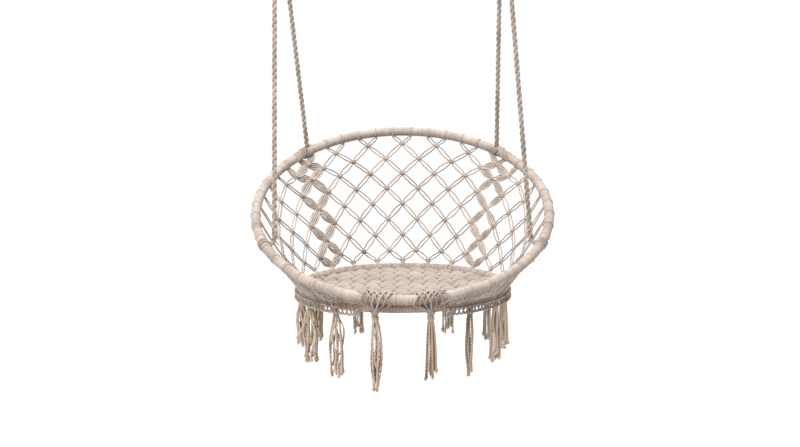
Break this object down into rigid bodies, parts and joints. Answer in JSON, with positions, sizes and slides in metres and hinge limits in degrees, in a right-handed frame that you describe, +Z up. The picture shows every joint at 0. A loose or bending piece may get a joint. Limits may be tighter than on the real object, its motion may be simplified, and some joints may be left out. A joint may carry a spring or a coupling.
{
  "type": "hanging macrame hoop chair",
  "caption": "Round macrame hanging chair: tilted back hoop, woven round seat, knotted net, fringe, ropes to two rings.",
  "frame": {"origin": "middle of the hang line, where two hooks bear inside the tops of the two steel rings", "axes": "+Z up, +Y from the open front towards the backrest, +X along the hang line to the right as seen from the front"},
  "size_m": [0.8046, 0.723, 1.361],
  "materials": {
    "cord": "matte twisted cotton cord",
    "rope": "matte laid cotton rope",
    "fringe": "matte twisted cotton cord",
    "steel": "zinc plated",
    "tube": "satin powder coat"
  },
  "bodies": {
    "hangers": {"ring_left": "steel", "ring_right": "steel"},
    "eyes": {"rope_eye_left": "rope", "rope_eye_right": "rope", "seizing_left": "cord", "seizing_right": "cord"},
    "left_ropes": {"rope_front_left": "rope", "rope_rear_left": "rope"},
    "chair": {"back_hoop_tube": "tube", "back_hoop_wrap": "cord", "hitch_front_left": "rope", "hitch_rear_left": "rope", "hitch_front_right": "rope", "hitch_rear_right": "rope", "net_anchors": "cord", "net_back": "cord", "load_column_left": "cord", "load_column_right": "cord", "net_side_left": "cord", "net_side_right": "cord", "net_skirt_left": "cord", "net_skirt_right": "cord", "front_lashing_left": "cord", "front_lashing_right": "cord", "tassel_1": "fringe", "tassel_12": "fringe"},
    "right_ropes": {"rope_front_right": "rope", "rope_rear_right": "rope"},
    "seat": {"seat_hoop_tube": "tube", "seat_hoop_wrap": "cord", "seat_web": "cord", "seat_bindings": "cord", "tassel_2": "fringe", "tassel_3": "fringe", "tassel_4": "fringe", "tassel_5": "fringe", "tassel_6": "fringe", "tassel_7": "fringe", "tassel_8": "fringe", "tassel_9": "fringe", "tassel_10": "fringe", "tassel_11": "fringe"}
  },
  "joints": [
    {"name": "swing", "type": "hinge", "parent": "hangers", "child": "eyes", "pos_m": [0, 0, -0.048], "axis": [1, 0, 0], "range_deg": [-35, 35]},
    {"name": "sway_left", "type": "hinge", "parent": "eyes", "child": "left_ropes", "pos_m": [-0.288, 0, -0.098], "axis": [0, 0.8949, 0.4462], "range_deg": [-10, 10], "deforming": ["rope_front_left", "rope_rear_left", "rope_front_right", "rope_rear_right"]},
    {"name": "chair_level", "type": "hinge", "parent": "left_ropes", "child": "chair", "pos_m": [-0.288, 0.0305, -0.95], "axis": [0, 0.8949, 0.4462], "range_deg": [-10, 10]},
    {"name": "sway_right", "type": "hinge", "parent": "chair", "child": "right_ropes", "pos_m": [0.288, 0.0305, -0.95], "axis": [0, 0.8949, 0.4462], "range_deg": [-10, 10]},
    {"name": "seat_fold", "type": "hinge", "parent": "chair", "child": "seat", "pos_m": [0.032, -0.28952, -1.1459], "axis": [1, 0, 0], "range_deg": [0, 25], "deforming": ["net_back", "load_column_left", "load_column_right", "net_side_left", "net_side_right", "net_skirt_left", "net_skirt_right"]}
  ],
  "couplings": [
    {"joint": "chair_level", "follows": "sway_left", "ratio": -1},
    {"joint": "sway_right", "follows": "sway_left", "ratio": 1}
  ]
}
